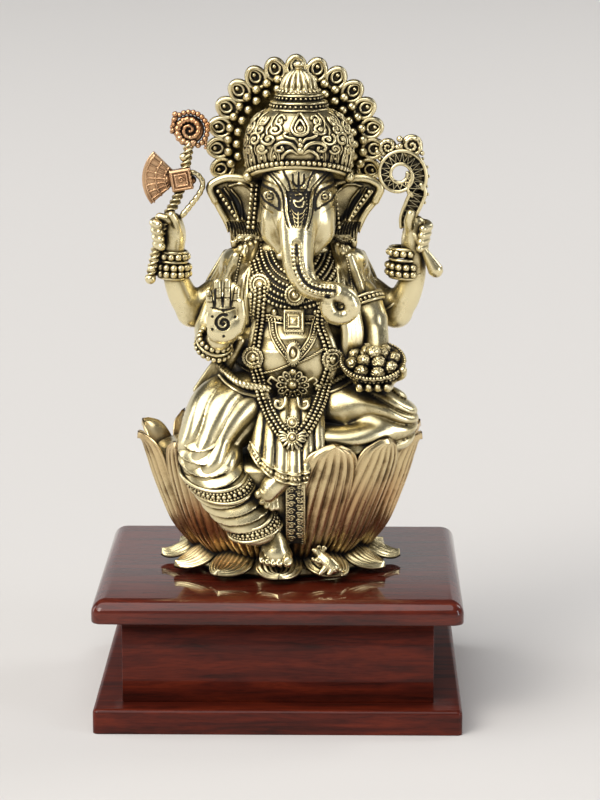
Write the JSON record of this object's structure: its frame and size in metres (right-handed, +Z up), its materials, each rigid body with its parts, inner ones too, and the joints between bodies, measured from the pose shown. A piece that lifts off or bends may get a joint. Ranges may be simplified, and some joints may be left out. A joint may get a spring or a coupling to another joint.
{
  "type": "hindu deity statue",
  "caption": "Seated elephant-headed deity in antique brass on a lotus, lifting off a lacquered wood box pedestal.",
  "frame": {"origin": "centre of the pedestal's underside", "axes": "+Z up; -Y towards the viewer, the side the deity faces; +X to the viewer's right"},
  "size_m": [0.216, 0.1888, 0.3835],
  "materials": {
    "lacquered_wood": "high-gloss lacquer over red-brown hardwood grain",
    "antique_brass": "polished high points with a dark patina left in the recesses"
  },
  "bodies": {
    "pedestal": {"plinth_board": "lacquered_wood", "top_board": "lacquered_wood", "panel_front": "lacquered_wood", "panel_back": "lacquered_wood", "panel_left": "lacquered_wood", "panel_right": "lacquered_wood"},
    "statue": {"lotus_core": "antique_brass", "torso": "antique_brass", "head": "antique_brass", "trunk": "antique_brass", "ear_left": "antique_brass", "ear_right": "antique_brass", "halo_plate": "antique_brass", "crown_dome": "antique_brass", "crown_tiers": "antique_brass", "crown_finial": "antique_brass", "rear_arm_left": "antique_brass", "rear_bangles_left": "antique_brass", "rear_arm_right": "antique_brass", "rear_bangles_right": "antique_brass", "axe_shaft": "antique_brass", "axe_head": "antique_brass", "axe_scroll": "antique_brass", "noose": "antique_brass", "rear_hand_left": "antique_brass", "rear_hand_right": "antique_brass", "front_arm_left": "antique_brass", "front_arm_right": "antique_brass", "blessing_hand": "antique_brass", "bowl": "antique_brass", "sweets": "antique_brass", "serving_hand": "antique_brass", "front_bangles": "antique_brass", "thigh_lowered": "antique_brass", "shin_lowered": "antique_brass", "foot_lowered": "antique_brass", "leg_folded": "antique_brass", "foot_folded": "antique_brass", "waist_rope": "antique_brass", "apron": "antique_brass", "chest_belt": "antique_brass", "necklace": "antique_brass", "garland": "antique_brass", "shawl_left": "antique_brass", "shawl_right": "antique_brass", "upper_petal_01": "antique_brass", "upper_petal_02": "antique_brass", "upper_petal_03": "antique_brass", "upper_petal_04": "antique_brass", "upper_petal_05": "antique_brass", "upper_petal_06": "antique_brass", "upper_petal_07": "antique_brass", "upper_petal_08": "antique_brass", "upper_petal_09": "antique_brass", "upper_petal_10": "antique_brass", "upper_petal_11": "antique_brass", "upper_petal_12": "antique_brass", "lower_petal_ring": "antique_brass", "mouse": "antique_brass"}
  },
  "joints": [
    {"name": "statue_lift", "type": "slide", "parent": "pedestal", "child": "statue", "axis": [0, 0, 1], "range_m": [0, 0.05]}
  ]
}
